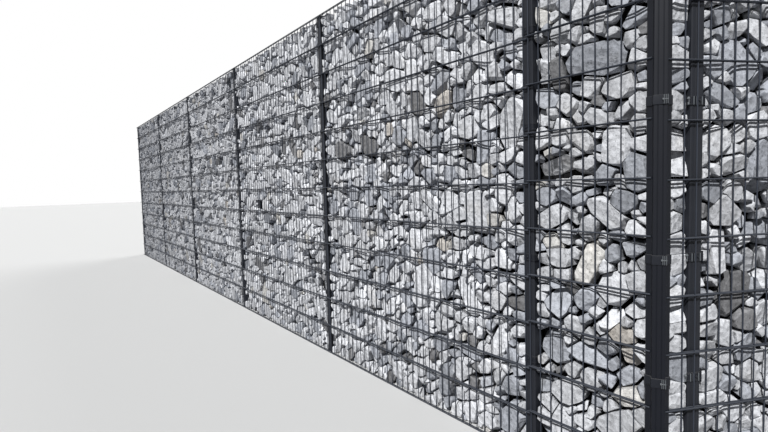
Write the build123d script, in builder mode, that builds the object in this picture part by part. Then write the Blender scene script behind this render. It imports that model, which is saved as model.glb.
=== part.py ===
from build123d import *
import math
import os

# Sizes are in millimetres. Heights start at the ground, which is Z = 0.
# The outer mesh faces of the two wings meet on the vertical line X = 0, Y = 0.
# Wing one runs along -X and faces -Y. Wing two turns back from the corner.

corner_turn = 66.0
wall_depth = 300.0

# Twin wire mesh: every row has one line wire before the uprights and one behind them.
row_pitch = 200.0
row_count = 12
upright_pitch = 50.0
line_wire = 6.0
upright_wire = 5.0
wire_overhang = 23.0
short_panel_overhang = 8.0
short_panel_lift = 10.0
short_panel_inset = 26.0
panel_joint_inset = 32.0
panel_gap = 2.0

bay_length = 1800.0
wing_one_bays = 5
short_bay_length = 574.0
second_post_near = 132.0
wing_two_first_upright = 48.0

post_side = 50.0
post_wall = 3.0
post_edge = 4.0
post_groove = 3.0
post_groove_depth = 1.5
post_above_wire = 1.0
cap_thickness = 3.0
cap_lip = 2.0
cap_edge = 2.0

nose_half_width = 21.0
nose_reach = 2.0
flange_half_width = 37.0
flange_thickness = 8.0
corner_post_depth = 62.0
nose_groove_spacing = 16.0
wire_end_clearance = 2.0
miter_clearance = 1.5

clip_height = 32.0
clip_thickness = 3.0
clip_levels = (440.0, 886.0, 1440.0, 1840.0, 2350.0)
corner_clip_levels = (510.0, 935.0, 1470.0, 1900.0, 2350.0)

fill_below_top = 10.0

os.makedirs("parts", exist_ok=True)

# Values that follow from the sizes above.
turn = math.radians(corner_turn)
half = turn / 2
mesh_depth = 2 * line_wire + upright_wire
top_level = row_pitch * row_count + line_wire
post_height = top_level + post_above_wire
fill_height = row_pitch * row_count - fill_below_top
row_levels = [row_pitch * row + line_wire / 2 for row in range(row_count + 1)]
second_post_far = second_post_near + post_side
post_far_edges = [short_bay_length + bay_length * i for i in range(wing_one_bays + 1)]
wing_two_far_edge = second_post_far + bay_length

# The mesh over a wing's end lies on the clips of its last posts.
wing_one_end = post_far_edges[-1] + clip_thickness
wing_two_end = wing_two_far_edge + clip_thickness

# In a wing's plane x runs away from the corner. Depth into the wall is -y on wing one, y on wing two.
wing_plane = {
    1: Plane(origin=(0, 0, 0), x_dir=(-1, 0, 0), z_dir=(0, 0, 1)),
    2: Plane(origin=(0, 0, 0), x_dir=(math.cos(turn), math.sin(turn), 0), z_dir=(0, 0, 1)),
}
inward = {1: -1.0, 2: 1.0}

# The corner plane halves the corner: its y runs straight into the wall.
corner_plane = Plane(origin=(0, 0, 0), x_dir=(math.cos(half), math.sin(half), 0), z_dir=(0, 0, 1))


def save(piece, label):
    piece.part.label = label
    export_step(piece.part, "parts/" + label + ".step")


def seat_line(x):
    """Corner plane y of the inner faces of the outer line wires, at a distance x from the middle."""
    return line_wire / math.cos(half) + abs(x) * math.tan(half)


def along_wing(x, y):
    """Distance from the corner, along either wing, of a point of the corner plane."""
    return abs(x) * math.cos(half) + y * math.sin(half)


# The corner post: a grooved nose between two flanges that the outer line wires lap onto.
nose_face = -nose_reach
corner_post_back = corner_post_depth - nose_reach
flange_outer = seat_line(flange_half_width)
corner_right = [
    (nose_half_width, nose_face),
    (nose_half_width, seat_line(nose_half_width)),
    (flange_half_width, flange_outer),
    (flange_half_width, flange_outer + flange_thickness),
    (nose_half_width, corner_post_back),
]
corner_outline = corner_right + [(-x, y) for x, y in reversed(corner_right)]

# Where the wires start on each face, by distance from the corner.
nose_flank = (nose_half_width + line_wire * math.sin(half)) / math.cos(half)
flange_end = along_wing(flange_half_width, flange_outer + flange_thickness)
outer_start = nose_flank + wire_end_clearance
inner_start = flange_end + wire_end_clearance
rear_start = wall_depth * math.tan(half) + miter_clearance


def upright_row(first, end, overhang):
    """Places of the upright wires from the first one up to a panel's end."""
    count = int((end - overhang - first) / upright_pitch + 0.001)
    return [first + upright_pitch * i for i in range(count + 1)]


def make_line_wires(label, wing, faces, lift=0.0, end_face=None):
    """Level wires of one bay. Each face is a depth with the distances where its wires start and end."""
    levels = [level + lift for level in row_levels]
    with BuildPart(wing_plane[wing]) as wires:
        for depth, start, end in faces:
            with Locations([((start + end) / 2, inward[wing] * depth, level) for level in levels]):
                Box(end - start, line_wire, line_wire)
        if end_face is not None:
            along = end_face + upright_wire + line_wire / 2
            with Locations([(along, inward[wing] * wall_depth / 2, level) for level in levels]):
                Box(line_wire, wall_depth, line_wire)
    save(wires, label)


def twin_wire_faces(front, front_inner, rear, end):
    """Depths and runs of the outer and inner line wires of the front face and the rear face."""
    outer = line_wire / 2
    inner = mesh_depth - line_wire / 2
    return [
        (outer, front, end),
        (inner, front_inner, end),
        (wall_depth - inner, rear, end),
        (wall_depth - outer, rear, end),
    ]


def make_upright_wires(label, wing, front_places, rear_places, lift=0.0, end_face=None):
    front = inward[wing] * (line_wire + upright_wire / 2)
    rear = inward[wing] * (wall_depth - line_wire - upright_wire / 2)
    with BuildPart() as wires:
        with BuildSketch(wing_plane[wing]):
            with Locations([(along, front) for along in front_places]):
                Rectangle(upright_wire, upright_wire)
            with Locations([(along, rear) for along in rear_places]):
                Rectangle(upright_wire, upright_wire)
            if end_face is not None:
                count = int((wall_depth - 2 * mesh_depth) / upright_pitch)
                first = (wall_depth - count * upright_pitch) / 2
                depths = [first + upright_pitch * i for i in range(count + 1)]
                with Locations([(end_face + upright_wire / 2, inward[wing] * n) for n in depths]):
                    Rectangle(upright_wire, upright_wire)
        extrude(amount=top_level + lift)
    save(wires, label)


def post_centres(wing, far_edge, faces):
    """Plan centres of the posts at one place, on the front face, the rear face or both."""
    depth = {"front": mesh_depth + post_side / 2, "rear": wall_depth - mesh_depth - post_side / 2}
    return [(far_edge - post_side / 2, inward[wing] * depth[face]) for face in faces]


def groove_centres(wing, far_edge, faces):
    """Middles of the outer faces of the same posts."""
    depth = {"front": mesh_depth, "rear": wall_depth - mesh_depth}
    return [(far_edge - post_side / 2, inward[wing] * depth[face]) for face in faces]


def make_posts(label, wing, far_edge, faces):
    bore = post_side - 2 * post_wall
    with BuildPart() as posts:
        with BuildSketch(wing_plane[wing]) as section:
            with Locations(post_centres(wing, far_edge, faces)):
                Rectangle(post_side, post_side)
            chamfer(section.vertices(), post_edge)
            with Locations(groove_centres(wing, far_edge, faces)):
                Rectangle(post_groove, 2 * post_groove_depth, mode=Mode.SUBTRACT)
            with Locations(post_centres(wing, far_edge, faces)):
                Rectangle(bore, bore, mode=Mode.SUBTRACT)
        extrude(amount=post_height)
    save(posts, label)


def make_caps(label, wing, stations):
    centres = [place for far_edge, faces in stations for place in post_centres(wing, far_edge, faces)]
    side = post_side + 2 * cap_lip
    with BuildPart() as caps:
        with BuildSketch(wing_plane[wing].offset(post_height)):
            with Locations(centres):
                Rectangle(side, side)
        extrude(amount=cap_thickness)
        chamfer(caps.faces().sort_by(Axis.Z)[-len(centres):].edges(), cap_edge)
    save(caps, label)


def make_clips(label, wing, stations):
    """Collars clamped round the posts, behind the upright wires."""
    with BuildPart() as clips:
        for far_edge, faces, levels in stations:
            for level in levels:
                with BuildSketch(wing_plane[wing].offset(level - clip_height / 2)):
                    with Locations(post_centres(wing, far_edge, faces)):
                        Rectangle(post_side + 2 * clip_thickness, post_side + 2 * clip_thickness)
                    with Locations(post_centres(wing, far_edge, faces)):
                        Rectangle(post_side, post_side, mode=Mode.SUBTRACT)
                extrude(amount=clip_height)
    save(clips, label)


with BuildPart() as corner_post:
    with BuildSketch(corner_plane):
        with BuildLine():
            Polyline(*corner_outline, close=True)
        make_face()
        with Locations((-nose_groove_spacing / 2, nose_face), (nose_groove_spacing / 2, nose_face)):
            Rectangle(post_groove, 2 * post_groove_depth, mode=Mode.SUBTRACT)
        bore_depth = corner_post_depth - 2 * post_wall - post_groove_depth
        with Locations((0, corner_post_back - post_wall - bore_depth / 2)):
            Rectangle(2 * (nose_half_width - post_wall), bore_depth, mode=Mode.SUBTRACT)
    extrude(amount=post_height)
save(corner_post, "corner_post")

# The inner corner post stands behind the rear mesh where the rear faces meet.
inner_face = (wall_depth - mesh_depth) / math.cos(half)
inner_centre = (0, inner_face - post_side / 2)
with BuildPart() as inner_corner_post:
    with BuildSketch(corner_plane) as section:
        with Locations(inner_centre):
            Rectangle(post_side, post_side)
        chamfer(section.vertices(), post_edge)
        with Locations(inner_centre):
            Rectangle(post_side - 2 * post_wall, post_side - 2 * post_wall, mode=Mode.SUBTRACT)
    extrude(amount=post_height)
save(inner_corner_post, "inner_corner_post")

with BuildPart() as corner_caps:
    with BuildSketch(corner_plane.offset(post_height)):
        with BuildLine():
            Polyline(*corner_outline, close=True)
        make_face()
        offset(amount=cap_lip, kind=Kind.INTERSECTION)
    extrude(amount=cap_thickness)
    with BuildSketch(corner_plane.offset(post_height)):
        with Locations(inner_centre):
            Rectangle(post_side + 2 * cap_lip, post_side + 2 * cap_lip)
    extrude(amount=cap_thickness)
    chamfer(corner_caps.faces().sort_by(Axis.Z)[-2:].edges(), cap_edge)
save(corner_caps, "corner_caps")

# Bands round the front of the corner post. They follow the nose and the flanges.
band_half_width = flange_half_width + clip_thickness
band_right = [
    (nose_half_width + clip_thickness, nose_face - clip_thickness),
    (nose_half_width + clip_thickness, seat_line(nose_half_width) - clip_thickness),
    (band_half_width, seat_line(flange_half_width) - clip_thickness),
    (band_half_width, flange_outer + flange_thickness),
]
band_outline = band_right + [(-x, y) for x, y in reversed(band_right)]
with BuildPart() as corner_bands:
    for level in corner_clip_levels:
        with BuildSketch(corner_plane.offset(level - clip_height / 2)):
            with BuildLine():
                Polyline(*band_outline, close=True)
            make_face()
            with BuildLine():
                Polyline(*corner_outline, close=True)
            make_face(mode=Mode.SUBTRACT)
        extrude(amount=clip_height)
save(corner_bands, "corner_bands")


def make_fill(label, wing, start, end, front_posts, rear_posts):
    """Stone fill of one bay, closed and solid, with room for the posts and their clips."""
    place = post_side + 2 * clip_thickness
    with BuildPart() as fill:
        with BuildSketch(wing_plane[wing]):
            with Locations(((start + end) / 2, inward[wing] * wall_depth / 2)):
                Rectangle(end - start, wall_depth - 2 * mesh_depth)
            for faces, far_edges in (("front", front_posts), ("rear", rear_posts)):
                for far_edge in far_edges:
                    with Locations(post_centres(wing, far_edge, (faces,))):
                        Rectangle(place, place, mode=Mode.SUBTRACT)
        extrude(amount=fill_height)
        if start < 0:
            # The half of the corner beyond the miter belongs to the other wing.
            with BuildSketch(corner_plane):
                with Locations((-inward[wing] * wall_depth, wall_depth / 2)):
                    Rectangle(2 * wall_depth, 3 * wall_depth)
                with Locations(inner_centre):
                    Rectangle(post_side, post_side)
                with Locations((0, (corner_post_back + nose_face) / 2)):
                    Rectangle(2 * band_half_width, corner_post_depth)
            extrude(amount=fill_height, mode=Mode.SUBTRACT)
    save(fill, label)


def panel_start(far_edge):
    return far_edge - panel_joint_inset + panel_gap / 2


def panel_end(far_edge):
    return far_edge - panel_joint_inset - panel_gap / 2


# Wing one: a short bay beside the corner and then the whole bays.
short_end = short_bay_length - short_panel_inset
last_upright = short_end - short_panel_overhang


def short_bay_uprights(start):
    """Places counted back from the post, as the short panel is cut at the corner."""
    count = int((last_upright - start - upright_wire) / upright_pitch)
    return [last_upright - upright_pitch * i for i in range(count + 1)]


make_line_wires(
    "line_wires_short_bay",
    1,
    twin_wire_faces(outer_start, inner_start, rear_start, short_end),
    short_panel_lift,
)
make_upright_wires(
    "upright_wires_short_bay",
    1,
    short_bay_uprights(flange_end),
    short_bay_uprights(rear_start),
    short_panel_lift,
)
make_fill(
    "stone_fill_short_bay",
    1,
    -wall_depth,
    short_bay_length - post_side / 2,
    [short_bay_length],
    [short_bay_length],
)

for bay in range(1, wing_one_bays + 1):
    near = post_far_edges[bay - 1]
    far = post_far_edges[bay]
    last = bay == wing_one_bays
    start = panel_start(near)
    end = wing_one_end if last else panel_end(far)
    end_face = wing_one_end if last else None
    places = upright_row(start + wire_overhang, end, wire_overhang / 2)
    make_line_wires("line_wires_bay_%d" % bay, 1, twin_wire_faces(start, start, start, end), 0.0, end_face)
    make_upright_wires("upright_wires_bay_%d" % bay, 1, places, places, 0.0, end_face)
    fill_end = wing_one_end if last else far - post_side / 2
    make_fill("stone_fill_bay_%d" % bay, 1, near - post_side / 2, fill_end, [near, far], [near, far])

for number, far_edge in enumerate(post_far_edges, 1):
    make_posts("posts_%d" % number, 1, far_edge, ("front", "rear"))

pair = ("front", "rear")
make_caps("post_caps_wing_one", 1, [(far_edge, pair) for far_edge in post_far_edges])
make_clips("mesh_clips_wing_one", 1, [(far_edge, pair, clip_levels) for far_edge in post_far_edges])

# Wing two: a post close to the corner, one whole bay and the end posts.
make_line_wires(
    "line_wires_wing_two",
    2,
    twin_wire_faces(outer_start, inner_start, rear_start, wing_two_end),
    0.0,
    wing_two_end,
)
make_upright_wires(
    "upright_wires_wing_two",
    2,
    upright_row(flange_end + wing_two_first_upright, wing_two_end, wire_overhang / 2),
    upright_row(rear_start + wire_overhang, wing_two_end, wire_overhang / 2),
    0.0,
    wing_two_end,
)
make_fill(
    "stone_fill_wing_two",
    2,
    -wall_depth,
    wing_two_end,
    [second_post_far, wing_two_far_edge],
    [wing_two_far_edge],
)
make_posts("second_post", 2, second_post_far, ("front",))
make_posts("end_posts_wing_two", 2, wing_two_far_edge, pair)
make_caps("post_caps_wing_two", 2, [(second_post_far, ("front",)), (wing_two_far_edge, pair)])
make_clips(
    "mesh_clips_wing_two",
    2,
    [(second_post_far, ("front",), corner_clip_levels), (wing_two_far_edge, pair, clip_levels)],
)
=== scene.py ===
from collections import namedtuple
from math import cos, pi, radians, sin, sqrt, tan

import bpy
import numpy as np
from mathutils import Matrix, Vector
from mathutils.geometry import tessellate_polygon


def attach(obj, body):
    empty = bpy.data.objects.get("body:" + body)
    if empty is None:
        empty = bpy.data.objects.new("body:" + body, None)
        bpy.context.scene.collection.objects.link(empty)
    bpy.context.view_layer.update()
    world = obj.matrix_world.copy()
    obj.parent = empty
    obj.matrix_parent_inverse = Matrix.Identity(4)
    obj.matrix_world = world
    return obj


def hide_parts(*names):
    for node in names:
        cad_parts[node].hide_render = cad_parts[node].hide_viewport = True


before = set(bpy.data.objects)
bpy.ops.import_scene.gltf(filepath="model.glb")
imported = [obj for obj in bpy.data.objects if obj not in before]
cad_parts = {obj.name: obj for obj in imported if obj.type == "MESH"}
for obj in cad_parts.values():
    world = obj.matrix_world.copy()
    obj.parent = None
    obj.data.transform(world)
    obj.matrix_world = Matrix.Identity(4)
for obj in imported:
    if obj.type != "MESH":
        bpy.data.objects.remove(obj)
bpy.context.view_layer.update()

# Sizes in millimetres, as in the CAD source. They are turned into metres when a piece is built.
MM = 0.001
TURN = radians(66.0)
HALF = TURN / 2
WALL_DEPTH = 300.0
LINE_WIRE = 6.0
UPRIGHT_WIRE = 5.0
MESH_DEPTH = 2 * LINE_WIRE + UPRIGHT_WIRE
ROW_PITCH = 200.0
ROW_COUNT = 12
UPRIGHT_PITCH = 50.0
WIRE_OVERHANG = 23.0
WIRE_END_ROOM = 2.0
MITER_ROOM = 1.5
SHORT_OVERHANG = 8.0
SHORT_LIFT = 10.0
SHORT_INSET = 26.0
JOINT_INSET = 32.0
PANEL_GAP = 2.0
BAY = 1800.0
BAYS = 5
SHORT_BAY = 574.0
SECOND_POST = 132.0
WING_TWO_FIRST = 48.0
POST_SIDE = 50.0
CLIP = 3.0
CLIP_HEIGHT = 32.0
CLIP_LEVELS = (440.0, 886.0, 1440.0, 1840.0, 2350.0)
CORNER_LEVELS = (510.0, 935.0, 1470.0, 1900.0, 2350.0)
NOSE_HALF = 21.0
NOSE_FACE = -2.0
FLANGE_HALF = 37.0
FLANGE_THICKNESS = 8.0
CORNER_BACK = 60.0
FILL_HEIGHT = 2390.0
TOP_LEVEL = ROW_PITCH * ROW_COUNT + LINE_WIRE
POST_HEIGHT = TOP_LEVEL + 1.0

POST_FAR = [SHORT_BAY + BAY * i for i in range(BAYS + 1)]
WING_ONE_END = POST_FAR[-1] + CLIP
SECOND_FAR = SECOND_POST + POST_SIDE
WING_TWO_FAR = SECOND_FAR + BAY
WING_TWO_END = WING_TWO_FAR + CLIP
ROW_LEVELS = [ROW_PITCH * k + LINE_WIRE / 2 for k in range(ROW_COUNT + 1)]

# Wing one runs along -X. Wing two turns back from the corner.
ALONG = {1: np.array([-1.0, 0.0, 0.0]), 2: np.array([cos(TURN), sin(TURN), 0.0])}
INWARD = {1: np.array([0.0, 1.0, 0.0]), 2: np.array([-sin(TURN), cos(TURN), 0.0])}
UP = np.array([0.0, 0.0, 1.0])


def place(wing, t, n, z):
    """The point at a distance t from the corner, a depth n in the wall and a height z."""
    return ALONG[wing] * t + INWARD[wing] * n + UP * z


# The photo's camera: its place in metres, and its yaw, pitch and roll in degrees.
CAMERA_PLACE = (0.8147, -1.7135, 1.2172)
CAMERA_ANGLES = (54.5662, 3.6848, -1.5982)
PHOTO_WIDTH = 768.0
FOCAL_PIXELS = 496.15
SENSOR_WIDTH = 36.0


def make_camera():
    yaw, pitch, roll = (radians(a) for a in CAMERA_ANGLES)
    level = cos(pitch)
    forward = Vector((-sin(yaw) * level, cos(yaw) * level, -sin(pitch)))
    right = Vector((cos(yaw), sin(yaw), 0.0))
    up = right.cross(forward)
    rolled_right = right * cos(roll) + up * sin(roll)
    rolled_up = up * cos(roll) - right * sin(roll)
    data = bpy.data.cameras.new("camera")
    data.sensor_width = SENSOR_WIDTH
    data.lens = SENSOR_WIDTH * FOCAL_PIXELS / PHOTO_WIDTH
    data.clip_start = 0.05
    data.clip_end = 200.0
    camera = bpy.data.objects.new("camera", data)
    bpy.context.scene.collection.objects.link(camera)
    turned = Matrix((rolled_right, rolled_up, -forward)).transposed().to_4x4()
    camera.matrix_world = Matrix.Translation(Vector(CAMERA_PLACE)) @ turned
    bpy.context.scene.camera = camera


make_camera()

# Convex blocks. A block is a list of points and a list of faces, each a loop of point numbers.
ON_PLANE = 1e-6
MOST_CORNERS = 60
MOST_FACES = 40


def clip_block(block, n, c):
    """Cuts a convex block by the plane n.v = c and keeps the side below it."""
    verts, faces = block
    nx, ny, nz = n
    d = [nx * x + ny * y + nz * z - c for x, y, z in verts]
    if max(d) <= ON_PLANE:
        return block
    points = []
    numbers = {}
    after = {}
    out = []
    for face in faces:
        loop = []
        leave = enter = -1
        prev = face[-1]
        inside = d[prev] <= ON_PLANE
        for v in face:
            now = d[v] <= ON_PLANE
            if now != inside:
                key = (prev, v) if prev < v else (v, prev)
                if key not in numbers:
                    numbers[key] = len(points)
                    s = d[prev] / (d[prev] - d[v])
                    points.append(tuple(p + (q - p) * s for p, q in zip(verts[prev], verts[v])))
                loop.append(numbers[key])
                if now:
                    enter = loop[-1]
                else:
                    leave = loop[-1]
            if now:
                if v not in numbers:
                    numbers[v] = len(points)
                    points.append(verts[v])
                loop.append(numbers[v])
            prev = v
            inside = now
        if len(loop) > 2:
            out.append(loop)
        if leave >= 0 and enter >= 0:
            after[enter] = leave
    if after:
        start = next(iter(after))
        cap = [start]
        v = after[start]
        while v != start and v in after and len(cap) < MOST_CORNERS:
            cap.append(v)
            v = after[v]
        if len(cap) > 2:
            out.append(cap)
    return points, out


def box_block(x0, x1, y0, y1, z0, z1):
    points = [(x, y, z) for x in (x0, x1) for y in (y0, y1) for z in (z0, z1)]
    return points, [[0, 1, 3, 2], [4, 6, 7, 5], [0, 4, 5, 1], [2, 3, 7, 6], [0, 2, 6, 4], [1, 5, 7, 3]]


def is_solid(block):
    return len(block[1]) > 3


def highest(block, n):
    return max(n[0] * x + n[1] * y + n[2] * z for x, y, z in block[0])


def joined(block, merge):
    """The block with edges shorter than merge closed up, and the face on each side of every edge."""
    verts, faces = block
    to = list(range(len(verts)))
    for face in faces:
        prev = face[-1]
        for v in face:
            if v > prev:
                a, b = verts[to[prev]], verts[to[v]]
                if abs(a[0] - b[0]) + abs(a[1] - b[1]) + abs(a[2] - b[2]) < merge:
                    low, high = sorted((to[prev], to[v]))
                    to = [low if t == high else t for t in to]
            prev = v
    loops = []
    for face in faces:
        loop = []
        for v in face:
            if not loop or loop[-1] != to[v]:
                loop.append(to[v])
        while len(loop) > 1 and loop[0] == loop[-1]:
            loop.pop()
        if len(loop) > 2 and len(set(loop)) == len(loop):
            loops.append(loop)
    edges = {(loop[i - 1], loop[i]): f for f, loop in enumerate(loops) for i in range(len(loop))}
    repeated = len(edges) < sum(len(loop) for loop in loops)
    if repeated or any((b, a) not in edges for a, b in edges) or not is_solid((verts, loops)):
        return None
    return verts, loops, edges


# Worn edges. A corner of a face moves in by no more than a share of its sides.
STONE_MERGE = 7.0
FITTING_MERGE = 0.2
LEAST_MERGE = 0.01
LEAST_SINE = 0.4
SIDE_SHARE = 0.3

# Big faces that look out of the wall get a middle that is a little high or low.
SWELL_OUTWARD = 0.25
SWELL_AREA = 900.0
SWELL = (-0.045, 0.035)


def face_normal(verts, loop):
    """A face's normal, which is as long as twice its area, and that length."""
    nx = ny = nz = 0.0
    k = len(loop)
    for i in range(k):
        p = verts[loop[i]]
        q = verts[loop[(i + 1) % k]]
        nx += (p[1] - q[1]) * (p[2] + q[2])
        ny += (p[2] - q[2]) * (p[0] + q[0])
        nz += (p[0] - q[0]) * (p[1] + q[1])
    return (nx, ny, nz), sqrt(nx ** 2 + ny ** 2 + nz ** 2) or 1.0


def direction(v, a):
    """The direction from v to a, and how far it is."""
    x, y, z = a[0] - v[0], a[1] - v[1], a[2] - v[2]
    size = sqrt(x * x + y * y + z * z) or ON_PLANE
    return x / size, y / size, z / size, size


def moved_in(v, a, b, edge):
    """A face's corner v moved in along both its sides, which lead to a and b."""
    ax, ay, az, la = direction(v, a)
    bx, by, bz, lb = direction(v, b)
    cosine = ax * bx + ay * by + az * bz
    sine = sqrt(max(0.0, 1.0 - cosine * cosine))
    s = min(edge / max(sine, LEAST_SINE), SIDE_SHARE * min(la, lb))
    return (v[0] + (ax + bx) * s, v[1] + (ay + by) * s, v[2] + (az + bz) * s)


def bevels(loops, edges, ids, plain):
    """Triangles of the strip along every edge and of the small face at every corner that isn't plain."""
    tris = []
    for (u, v), f in edges.items():
        if u < v:
            g = edges[(v, u)]
            vf, uf, ug, vg = ids[f][v], ids[f][u], ids[g][u], ids[g][v]
            if uf != ug:
                tris.append((vf, uf, ug))
            if vf != vg:
                tris.append((vf, ug, vg))
    following = {(f, loop[i - 1]): loop[i] for f, loop in enumerate(loops) for i in range(len(loop))}
    done = set(plain)
    for f, loop in enumerate(loops):
        for v in loop:
            if v in done:
                continue
            done.add(v)
            walk = [f]
            g = edges[(following[(f, v)], v)]
            while g != f and len(walk) < MOST_FACES:
                walk.append(g)
                g = edges[(following[(g, v)], v)]
            ring = [ids[h][v] for h in reversed(walk)]
            for i in range(1, len(ring) - 1):
                tris.append((ring[0], ring[i], ring[i + 1]))
    return tris


def worn_block(block, edge, rnd, merge, sharp=None):
    """Vertices and triangles of a block with bevelled edges. Corners lower than sharp stay as they are."""
    shape = joined(block, merge) or joined(block, LEAST_MERGE)
    if shape is None:
        return None
    verts, loops, edges = shape
    new = []
    tris = []
    ids = []
    plain = {}
    for loop in loops:
        k = len(loop)
        row = {}
        for i, corner in enumerate(loop):
            v = verts[corner]
            if sharp is not None and v[2] < sharp:
                if corner not in plain:
                    plain[corner] = len(new)
                    new.append(v)
                row[corner] = plain[corner]
            else:
                row[corner] = len(new)
                new.append(moved_in(v, verts[loop[i - 1]], verts[loop[(i + 1) % k]], edge))
        ids.append(row)
        ring = [row[v] for v in loop]
        normal, size = face_normal(verts, loop)
        area = size / 2
        if normal[2] / size > SWELL_OUTWARD and area > SWELL_AREA:
            middle = [sum(new[i][axis] for i in ring) / k for axis in range(3)]
            lift = rnd.uniform(*SWELL) * sqrt(area) / size
            centre = len(new)
            new.append(tuple(m + n * lift for m, n in zip(middle, normal)))
            tris += [(ring[i], ring[(i + 1) % k], centre) for i in range(k)]
        else:
            tris += [(ring[0], ring[i], ring[i + 1]) for i in range(1, k - 1)]
    return new, tris + bevels(loops, edges, ids, plain)


# Colours of what isn't stone.
NO_COLOUR = (0.0, 0.0, 0.0, 1.0)
# The core's near-black is painted shade for the stones deep inside the fill.
SHADE_CORE_COLOUR = (0.010, 0.010, 0.011, 0.0)


class Mesh:
    """Vertices, triangles and a colour for every vertex of one piece, and the mix of its stones."""

    def __init__(self, pale=None):
        self.pale = pale
        self.verts = []
        self.tris = []
        self.colours = []

    def add(self, verts, tris, colour=NO_COLOUR):
        base = len(self.verts)
        self.verts.extend(verts)
        self.tris.extend((a + base, b + base, c + base) for a, b, c in tris)
        self.colours.extend([colour] * len(verts))

    def add_turned(self, verts, tris, frame3, origin, colour=NO_COLOUR):
        """Adds what is given in a frame of three directions, and turns triangles over if it mirrors."""
        if np.linalg.det(frame3) < 0:
            tris = [(a, c, b) for a, b, c in tris]
        self.add([tuple(p) for p in np.asarray(verts) @ frame3 + origin], tris, colour)


def strip(k, low, high):
    """Triangles between two rings of k points, which are numbered from low and from high."""
    tris = []
    for i in range(k):
        j = (i + 1) % k
        tris += [(low + i, low + j, high + j), (low + i, high + j, high + i)]
    return tris


# Numbers of stones of each size for a square metre of face, with their half widths. The last row, with no
# number, fills the widest spots that are left.
SIZES = ((7, 50.0, 66.0), (38, 35.0, 49.0), (62, 24.0, 35.0), (40, 14.0, 22.0), (0, 15.0, 42.0))
REAR_SIZES = ((9, 50.0, 66.0), (44, 35.0, 49.0), (50, 24.0, 35.0), (0, 18.0, 42.0))
NARROW = ((140, 33.0, 38.0), (60, 12.0, 18.0), (0, 15.0, 42.0))
MOST_FILLERS = 600

# The grid on which stones are laid, and the room that a stone needs as shares of its half width.
CELL = 6.0
MIDDLE_ROOM = 0.86
END_ROOM = 0.84
ROOM_REACH = 90.0

# How long the stones are for their width, and how their long axes turn from level.
LONG_SHARES = (0.1, 0.35, 0.6, 0.95)
SHRINK = 0.6
AXIS_SPREAD = 0.9
UPRIGHT_SHARE = 0.3


def lay_stones(rnd, width, height, sizes):
    """Middles, half widths and long axes of stones packed over a rectangle, big ones first."""
    nx = max(2, int(width / CELL))
    ny = max(2, int(height / CELL))
    gx = (np.arange(nx) + 0.5) * width / nx
    gy = (np.arange(ny) + 0.5) * height / ny
    free = np.minimum(np.minimum(gx, width - gx)[None, :], np.minimum(gy, height - gy)[:, None])
    stones = []
    area = width * height * 1e-6

    def has_room(x, y, half, angle, r):
        """Whether both ends of a long axis lie where there is room."""
        for s in (-half, half):
            ix = int((x + s * cos(angle)) / width * nx)
            iy = int((y + s * sin(angle)) / height * ny)
            if not (0 <= ix < nx and 0 <= iy < ny) or free[iy, ix] < END_ROOM * r:
                return False
        return True

    for per_metre, low, high in sizes:
        wanted = int(round(per_metre * area * rnd.uniform(0.9, 1.1)))
        radii = np.sort(rnd.uniform(low, high, wanted))[::-1] if per_metre else [0.0] * MOST_FILLERS
        for r in radii:
            if per_metre:
                spots = np.flatnonzero(free.ravel() > MIDDLE_ROOM * r)
                if len(spots) == 0:
                    continue
                spot = spots[rnd.randint(len(spots))]
            else:
                # The widest spot that is left, until none is wide enough to show as a hole.
                spot = int(free.argmax())
                r = min(float(free.flat[spot]), high)
                if r < low:
                    break
            y = gy[spot // nx]
            x = gx[spot % nx]
            angle = rnd.normal(0.0, AXIS_SPREAD)
            if rnd.rand() < UPRIGHT_SHARE:
                angle += pi / 2
            half = r * rnd.choice(LONG_SHARES)
            while half > 1.0 and not has_room(x, y, half, angle, r):
                half *= SHRINK
            if half <= 1.0:
                half = 0.0
            stones.append((x, y, r, half, angle))
            reach = r + half + ROOM_REACH
            ix0 = max(0, int((x - reach) / width * nx))
            ix1 = min(nx, int((x + reach) / width * nx) + 1)
            iy0 = max(0, int((y - reach) / height * ny))
            iy1 = min(ny, int((y + reach) / height * ny) + 1)
            wx = gx[None, ix0:ix1] - x
            wy = gy[iy0:iy1, None] - y
            ca, sa = cos(angle), sin(angle)
            s = np.clip(wx * ca + wy * sa, -half, half)
            d = np.sqrt((wx - s * ca) ** 2 + (wy - s * sa) ** 2) - r
            free[iy0:iy1, ix0:ix1] = np.minimum(free[iy0:iy1, ix0:ix1], d)
    return stones


# Stones further apart than this have no parting line.
NEAR_SHARE = 0.9
NEAR_ROOM = 30.0
PARTED_GAP = 0.7


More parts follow.
